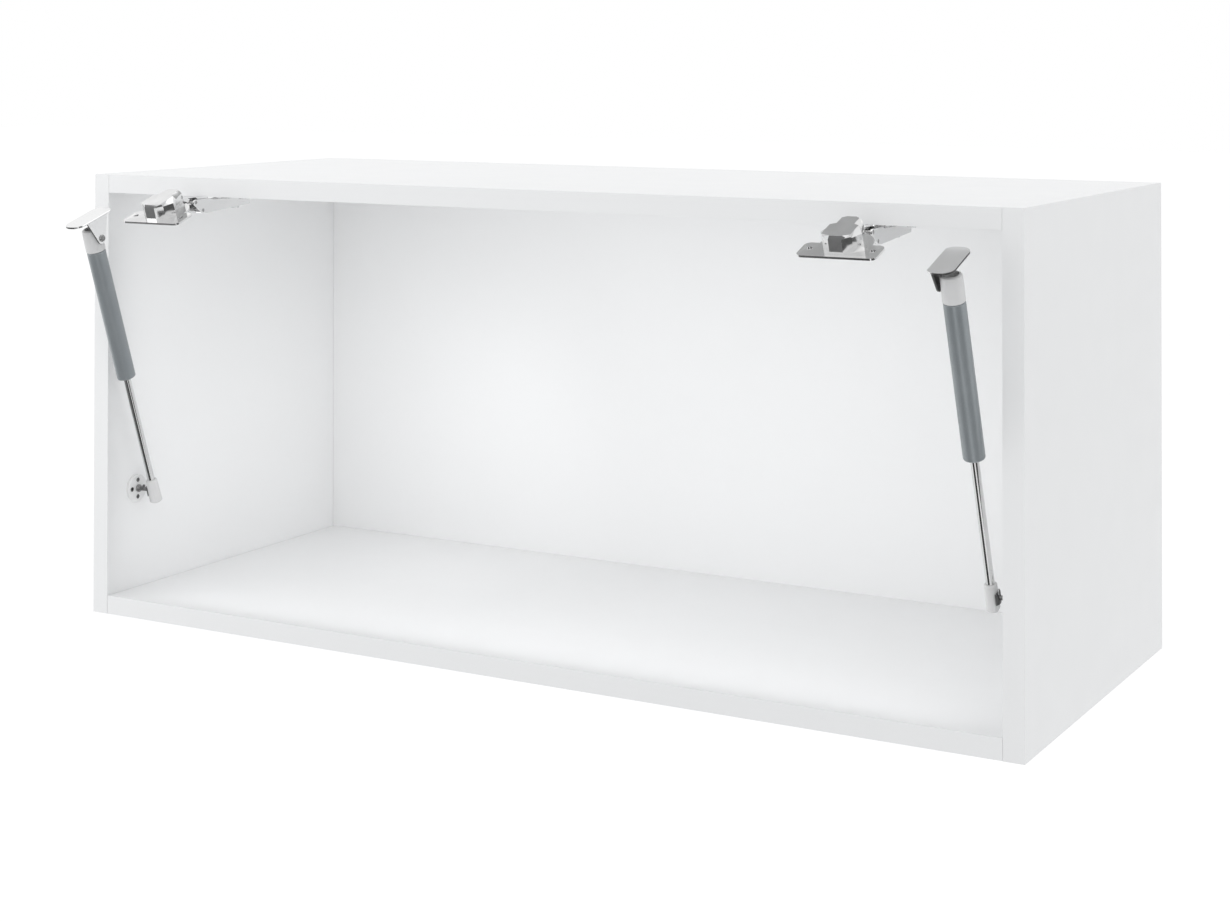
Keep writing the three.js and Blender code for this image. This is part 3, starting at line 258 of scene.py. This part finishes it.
def tube_coat():
    g = Graph("tube_powder_coat")
    base = g.cloud(g.noise(30, 5), (0.265, 0.29, 0.305), (0.295, 0.32, 0.335))
    fleck = g.mottled(base, g.noise(1500, 2), (0.38, 0.4, 0.42), share=0.3, source=(0.5, 0.8))
    edge = g.worn(fleck, (0.5, 0.52, 0.54), share=0.6)
    g.bump(g.noise(1100, 3), strength=0.08, distance=0.0002)
    return g.finish(edge, g.noise(200, 4), rough=(0.3, 0.4), metallic=0.35, coat=0.1)


def moulded(name, low, high, worn):
    g = Graph(name)
    edge = g.worn(g.cloud(g.noise(80, 4), low, high), worn, share=0.5)
    g.bump(g.noise(1300, 3), strength=0.1, distance=0.0002)
    return g.finish(edge, g.noise(300, 4), rough=(0.38, 0.52))


def lacquered_sheet():
    g = Graph("lacquered_sheet")
    base = g.cloud(g.noise(50, 5), grey(0.84, 0.002), grey(0.88, 0.002))
    brushed = g.mottled(base, g.noise(500, 3, (1, 0.08, 1)), grey(0.74), share=0.12)
    edge = g.worn(brushed, grey(0.9))
    g.bump(g.noise(800, 3), strength=0.03, distance=0.0001)
    return g.finish(edge, g.noise(90, 3), rough=(0.14, 0.2), metallic=0.9, coat=0.1)


# a near-black sheet that stands for shade: painted shade on the flap bracket's cut edges and
# inner faces
def painted_shade_sheet():
    g = Graph("painted_shade_sheet")
    edge = g.worn(g.cloud(g.noise(70, 5), grey(0.035), grey(0.06)), grey(0.25), share=0.5)
    g.bump(g.noise(900, 3), strength=0.05, distance=0.0001)
    return g.finish(edge, g.noise(160, 4), rough=(0.3, 0.42), metallic=0.5)


MATERIALS = {
    "board": melamine(),
    "zinc": plated(
        "bright_zinc", grey(0.64), grey(0.74, 0.01), rough=(0.18, 0.3), worn=grey(0.85),
    ),
    "nickel": plated(
        "nickel", grey(0.7), grey(0.77, 0.004), rough=(0.09, 0.16), worn=grey(0.9), bump=0.03,
    ),
    "steel": plated(
        "turned_steel", grey(0.2), grey(0.28), rough=(0.2, 0.32), worn=grey(0.6),
    ),
    "dark_steel": plated(
        "spring_steel", grey(0.045), grey(0.08), rough=(0.3, 0.45), worn=grey(0.2), bump=0.1,
    ),
    "chrome": plated(
        "chromed_rod", grey(0.66), grey(0.74), rough=(0.05, 0.1), worn=grey(0.9), bump=0.01,
        stretch=(1, 1, 0.1),
    ),
    "tube": tube_coat(),
    "white_plastic": moulded("white_plastic", grey(0.78), grey(0.83), worn=grey(0.88)),
    "black_plastic": moulded("black_plastic", grey(0.02), grey(0.035), worn=grey(0.08)),
    "painted_steel": lacquered_sheet(),
}
# pieces whose colour differs from the rest of their slot, by the end of the node's name: the
# back panel is hardboard, while the end cap and socket take greyer copies of the white plastic
# as painted shade
FINISH_AND_SHADE_OF = {
    "back_panel": hardboard(),
    # painted shade: the end cap and socket are the slot's white plastic, made greyer
    "end_cap": moulded("cap_plastic_shaded", grey(0.66), grey(0.7), worn=grey(0.78)),
    "socket": moulded("socket_plastic_shaded", grey(0.58), grey(0.62), worn=grey(0.7)),
}
# painted shade for the flap bracket's cut edges and inner faces
PAINTED_SHADE_INSIDE = painted_shade_sheet()

# ---------------------------------------------------------------- pieces
SLOT_OF = {entry["node"]: entry["material_slot"] for entry in frame["record"]["subparts"]}
BODY_OF = {
    node: body
    for body, nodes in frame["record"]["behaviour"]["bodies"].items()
    for node in nodes
}


def by_ending(table, node, default):
    """The table's entry for what the node's name ends with."""
    return next((entry for ending, entry in table.items() if node.endswith(ending)), default)


def place(obj, node):
    """The piece stands for the node: it rides on its body and takes its finish."""
    obj.data.materials.clear()
    obj.data.materials.append(by_ending(FINISH_AND_SHADE_OF, node, MATERIALS[SLOT_OF[node]]))
    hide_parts(node)
    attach(obj, BODY_OF[node])


def linked(name, mesh):
    obj = bpy.data.objects.new(name, mesh)
    bpy.context.scene.collection.objects.link(obj)
    return obj


def mesh_of(name, edit):
    mesh = bpy.data.meshes.new(name)
    edit.to_mesh(mesh)
    edit.free()
    return mesh


def apply_modifiers(obj):
    depsgraph = bpy.context.evaluated_depsgraph_get()
    finished = bpy.data.meshes.new_from_object(obj.evaluated_get(depsgraph))
    obj.modifiers.clear()
    obj.data = finished


def shade(obj, sharp_from=SMOOTH_ANGLE):
    """Smooth shading that keeps sharp edges sharp and large flat faces flat."""
    edit = bmesh.new()
    edit.from_mesh(obj.data)
    for face in edit.faces:
        face.smooth = True
    for edge in edit.edges:
        edge.smooth = len(edge.link_faces) == 2 and edge.calc_face_angle(0) < sharp_from
    edit.to_mesh(obj.data)
    edit.free()
    weighted = obj.modifiers.new("weighted", "WEIGHTED_NORMAL")
    weighted.weight = FLAT_WEIGHT
    weighted.keep_sharp = True
    apply_modifiers(obj)


def dressed(node):
    """The node's form again, welded, with its flat faces whole and every edge rounded over."""
    mesh = frame["nodes"][node].data.copy()
    edit = bmesh.new()
    edit.from_mesh(mesh)
    bmesh.ops.remove_doubles(edit, verts=edit.verts, dist=WELD)
    bmesh.ops.dissolve_limit(edit, angle_limit=FLAT_ANGLE, verts=edit.verts, edges=edit.edges)
    edit.to_mesh(mesh)
    edit.free()
    obj = linked(node + ".dressed", mesh)
    bevel = obj.modifiers.new("bevel", "BEVEL")
    bevel.width = by_ending(ROUNDING_OF, node, FINE_ROUNDING)
    bevel.segments = BEVEL_SEGMENTS
    bevel.limit_method = "ANGLE"
    bevel.angle_limit = BEVEL_ANGLE
    bevel.use_clamp_overlap = True
    bevel.miter_outer = "MITER_ARC"
    apply_modifiers(obj)
    shade(obj, CRISP_ANGLE if node.endswith(CRISP) else SMOOTH_ANGLE)
    place(obj, node)
    return obj


def revolved(name, profile, place_at, sides=ROUND_SIDES):
    """A turned form. The profile is [radius, height] in mm, closed on itself or on the axis."""
    edit = bmesh.new()
    rings = []
    for radius, height in profile:
        if radius < ON_AXIS:
            rings.append([edit.verts.new((0, 0, height * MM))])
            continue
        turns = [2 * math.pi * i / sides for i in range(sides)]
        rings.append([
            edit.verts.new((
                radius * MM * math.cos(turn), radius * MM * math.sin(turn), height * MM,
            ))
            for turn in turns
        ])
    pairs = list(zip(rings, rings[1:]))
    if len(rings[0]) > 1:
        pairs.append((rings[-1], rings[0]))
    for low, high in pairs:
        for i in range(sides):
            j = (i + 1) % sides
            if len(low) == 1 and len(high) > 1:
                edit.faces.new((low[0], high[j], high[i]))
            elif len(high) == 1 and len(low) > 1:
                edit.faces.new((low[i], low[j], high[0]))
            elif len(low) > 1:
                edit.faces.new((low[i], low[j], high[j], high[i]))
    bmesh.ops.recalc_face_normals(edit, faces=edit.faces)
    mesh = mesh_of(name, edit)
    mesh.transform(place_at)
    return linked(name, mesh)


def turned(node, profile, place_at):
    """A turned piece that stands for the node."""
    obj = revolved(node + ".turned", profile, place_at)
    shade(obj)
    place(obj, node)


def arc(centre, radius, start, end, steps=6):
    """Points of a profile's rounding, angles in degrees from the outward radius."""
    angles = [math.radians(start + (end - start) * i / steps) for i in range(steps + 1)]
    return [
        [centre[0] + radius * math.cos(angle), centre[1] + radius * math.sin(angle)]
        for angle in angles
    ]


def strut_frame(side):
    return Matrix.Translation((side * STRUT_X, *FOOT)) @ Matrix.Rotation(LEAN, 4, "X")


def tube_profile():
    return [
        [0, TUBE_TOP - TUBE_CLOSED_END], [TUBE_BORE, TUBE_TOP - TUBE_CLOSED_END],
        [TUBE_BORE, TUBE_START + TUBE_RIM], [TUBE_LIP, TUBE_START + TUBE_RIM],
        [TUBE_LIP, TUBE_START],
        *arc((TUBE_RADIUS - TUBE_ROLL, TUBE_START + TUBE_ROLL), TUBE_ROLL, -90, 0),
        *arc((TUBE_RADIUS - TUBE_CROWN, TUBE_TOP - TUBE_CROWN), TUBE_CROWN, 0, 90),
        [THREAD_RADIUS, TUBE_TOP], [THREAD_RADIUS, TUBE_TOP + THREAD_LENGTH],
        [0, TUBE_TOP + THREAD_LENGTH],
    ]


def rod_profile():
    foot = SOCKET_TOP - ROD_BITE
    groove = PISTON_START + PISTON_LENGTH / 3
    ledge = PISTON_START + PISTON_LENGTH * 2 / 3
    head = PISTON_START + PISTON_LENGTH
    return [
        [0, foot], *arc((ROD_RADIUS - ROD_EDGE, foot + ROD_EDGE), ROD_EDGE, -90, 0, steps=3),
        [ROD_RADIUS, PISTON_START], [PISTON_RADIUS, PISTON_START],
        [PISTON_RADIUS, groove], [PISTON_GROOVE, groove],
        [PISTON_GROOVE, ledge], [PISTON_RADIUS, ledge], [PISTON_RADIUS, head], [0, head],
    ]


def joined(name, parts):
    """One mesh object made of several."""
    edit = bmesh.new()
    for part in parts:
        edit.from_mesh(part.data)
        bpy.data.objects.remove(part)
    return linked(name, mesh_of(name, edit))


def screw(name, place_at):
    """A countersunk screw with a cross recess, as far as it shows in its hole."""
    body = revolved(name, [
        [0, SCREW_FOOT], [SCREW_RADIUS, SCREW_FOOT], [SCREW_RADIUS, SCREW_HEAD - SCREW_CONE],
        [SCREW_HEAD_RADIUS, SCREW_HEAD], [0, SCREW_HEAD],
    ], Matrix(), SCREW_SIDES)
    height = SCREW_RECESS + SCREW_CUTTER_RISE
    middle = Matrix.Translation((0, 0, (SCREW_HEAD - SCREW_RECESS + height / 2) * MM))
    edit = bmesh.new()
    for length, width in (SCREW_CROSS, SCREW_CROSS[::-1]):
        size = Matrix.Diagonal((length * MM, width * MM, height * MM, 1))
        bmesh.ops.create_cube(edit, size=1, matrix=middle @ size)
    cross = linked(name + ".cross", mesh_of(name + ".cross", edit))
    recess = body.modifiers.new("recess", "BOOLEAN")
    recess.operation = "DIFFERENCE"
    recess.solver = "EXACT"
    recess.use_self = True
    recess.object = cross
    apply_modifiers(body)
    bpy.data.objects.remove(cross)
    body.data.transform(place_at)
    return body


def foot_screws(side_name, side):
    """The screws that hold the foot plate to the side panel."""
    plate = side_name + "_strut_foot_plate"
    low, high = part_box(plate)
    wall = low[0] if side < 0 else high[0]
    centre = Matrix.Translation((wall, *FOOT)) @ Matrix.Rotation(-side * math.pi / 2, 4, "Y")
    out = Matrix.Translation((FOOT_HOLE_CIRCLE * MM, 0, 0))
    name = side_name + "_strut_foot_screws"
    screws = []
    for i in range(FOOT_HOLES):
        hole = Matrix.Rotation(2 * math.pi * i / FOOT_HOLES, 4, "Z")
        turn = Matrix.Rotation(math.radians(SCREW_TURN[0] + SCREW_TURN[1] * i), 4, "Z")
        screws.append(screw(f"{name}.{i}", centre @ hole @ out @ turn))
    obj = joined(name, screws)
    shade(obj)
    obj.data.materials.append(MATERIALS["dark_steel"])
    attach(obj, BODY_OF[plate])


def paint_shade_inside(obj, side):
    """The bracket's sheet keeps its bright colour on its outer face; its cut edges and inner
    faces take a near-black sheet, which is painted shade.
    """
    obj.data.materials.append(PAINTED_SHADE_INSIDE)
    for face in obj.data.polygons:
        outward = max(face.normal.dot(FLAP_NORMAL), -side * face.normal.x)
        face.material_index = 0 if outward > OUTER_FACE else 1


TURNED = {"strut_tube": tube_profile(), "strut_rod": rod_profile()}
for side_name, side in SIDES.items():
    for piece, profile in TURNED.items():
        turned(f"{side_name}_{piece}", profile, strut_frame(side))
    foot_screws(side_name, side)

for node in frame["nodes"]:
    if node.endswith(tuple(TURNED)):
        continue
    obj = dressed(node)
    # the bracket's cut edges and inner faces get painted shade
    if node.endswith("flap_bracket"):
        paint_shade_inside(obj, SIDES[node.split("_")[0]])


# ---------------------------------------------------------------- floor, light and camera
def background_rays(tree):
    """1 for the rays that show the background: to the camera, and in metal and glass."""
    rays = tree.nodes.new("ShaderNodeLightPath")
    seen = rays.outputs["Is Camera Ray"]
    for kind in ("Is Glossy Ray", "Is Transmission Ray"):
        either = tree.nodes.new("ShaderNodeMath")
        either.operation = "MAXIMUM"
        tree.links.new(seen, either.inputs[0])
        tree.links.new(rays.outputs[kind], either.inputs[1])
        seen = either.outputs["Value"]
    return seen


def mixed(tree, plain, shown, output):
    """Plain for the rays that light the object, shown for those that show the background."""
    mix = tree.nodes.new("ShaderNodeMixShader")
    tree.links.new(background_rays(tree), mix.inputs["Fac"])
    tree.links.new(plain, mix.inputs[1])
    tree.links.new(shown, mix.inputs[2])
    tree.links.new(mix.outputs["Shader"], tree.nodes[output].inputs["Surface"])


def pale_floor():
    """A pale floor that looks white where it is lit and keeps the object's shadow."""
    material = bpy.data.materials.new("pale_floor")
    material.use_nodes = True
    tree = material.node_tree
    shader = tree.nodes["Principled BSDF"]
    shader.inputs["Base Color"].default_value = (*grey(FLOOR_SHADE), 1)
    shader.inputs["Roughness"].default_value = FLOOR_ROUGHNESS
    lit = tree.nodes.new("ShaderNodeBsdfDiffuse")
    lit.inputs["Color"].default_value = (*grey(FLOOR_LIT), 1)
    lift = tree.nodes.new("ShaderNodeEmission")
    lift.inputs["Strength"].default_value = FLOOR_LIFT
    shown = tree.nodes.new("ShaderNodeAddShader")
    tree.links.new(lit.outputs["BSDF"], shown.inputs[0])
    tree.links.new(lift.outputs["Emission"], shown.inputs[1])
    mixed(tree, shader.outputs["BSDF"], shown.outputs["Shader"], "Material Output")
    return material


def studio_world():
    world = bpy.data.worlds.new("studio")
    bpy.context.scene.world = world
    world.use_nodes = True
    tree = world.node_tree
    light = tree.nodes["Background"]
    light.inputs["Color"].default_value = (*WORLD_TINT, 1)
    light.inputs["Strength"].default_value = WORLD_LIGHT
    white = tree.nodes.new("ShaderNodeBackground")
    white.inputs["Color"].default_value = (1, 1, 1, 1)
    white.inputs["Strength"].default_value = 1
    mixed(tree, light.outputs["Background"], white.outputs["Background"], "World Output")


def aimed(obj, place_at, target):
    obj.location = place_at
    obj.rotation_euler = (Vector(target) - Vector(place_at)).to_track_quat("-Z", "Y").to_euler()


def lamp(name, power, size, place_at, target, mirrored=True, spread=180):
    data = bpy.data.lights.new(name, "AREA")
    data.energy = power
    data.shape = "RECTANGLE"
    data.size, data.size_y = size
    data.spread = math.radians(spread)
    obj = linked(name, data)
    aimed(obj, place_at, target)
    obj.visible_camera = False
    obj.visible_glossy = mirrored


def card(name, level, size, place_at, target):
    """A studio card that only mirrors see. It gives bright metal its darker planes."""
    material = bpy.data.materials.new(name)
    material.use_nodes = True
    shader = material.node_tree.nodes["Principled BSDF"]
    shader.inputs["Base Color"].default_value = (*grey(level), 1)
    shader.inputs["Roughness"].default_value = 1
    bpy.ops.mesh.primitive_plane_add(size=1)
    obj = bpy.context.object
    obj.name = name
    obj.data.materials.append(material)
    obj.scale = (*size, 1)
    aimed(obj, place_at, target)
    obj.visible_camera = False
    obj.visible_diffuse = False
    obj.visible_shadow = False
    obj.visible_transmission = False


def photographed_view():
    """The photograph's camera. It looks almost level, and its lens shift lowers the picture."""
    data = bpy.data.cameras.new("camera")
    data.sensor_width = SENSOR
    data.lens = FOCAL_PIXELS / IMAGE_WIDTH * SENSOR
    data.shift_x = -(CENTRE_X - IMAGE_WIDTH / 2) / IMAGE_WIDTH
    data.shift_y = -(IMAGE_HEIGHT / 2 - CENTRE_Y) / IMAGE_WIDTH
    data.clip_start = CAMERA_NEAR
    camera = linked("camera", data)
    forward = Vector((
        -math.sin(CAMERA_YAW) * math.cos(CAMERA_PITCH),
        math.cos(CAMERA_YAW) * math.cos(CAMERA_PITCH),
        math.sin(CAMERA_PITCH),
    ))
    camera.matrix_world = (
        Matrix.Translation(CAMERA_PLACE)
        @ forward.to_track_quat("-Z", "Y").to_matrix().to_4x4()
        @ Matrix.Rotation(CAMERA_ROLL, 4, "Z")
    )
    bpy.context.scene.camera = camera


bpy.ops.mesh.primitive_plane_add(size=FLOOR_SIZE, location=(0, 0, -FLOOR_DROP))
floor = bpy.context.object
floor.name = "floor"
floor.data.materials.append(pale_floor())
studio_world()

lamp("key", 3, (1.0, 0.9), (-1.3, -0.95, 0.1), (-0.3, -0.3, -0.15))
lamp("top", 7, (2.4, 1.8), (-0.3, 0.2, 2.4), MIDDLE)
lamp("fill", 0.36, (0.70, 0.29), MOUTH, INWARDS, mirrored=False)
lamp(
    "corner_fill", 0.028, (0.12, 0.12), (-0.1, -0.2, -0.12), (-0.36, 0.0, -0.33),
    mirrored=False, spread=90,
)
card("low_card", 0.2, (2.3, 0.75), (-0.75, -1.4, -0.95), FRONT_METAL)
card("rod_card", 0.05, (0.85, 0.6), (0.0, -0.94, -0.95), RIGHT_ROD)
card("right_card", 0.1, (1.7, 0.9), (1.5, -1.0, -0.9), RIGHT_METAL)
card("high_card", 0.52, (1.2, 0.6), (-0.2, 0.6, 0.93), HIGH_METAL)
photographed_view()
bpy.context.scene.view_settings.view_transform = "Standard"
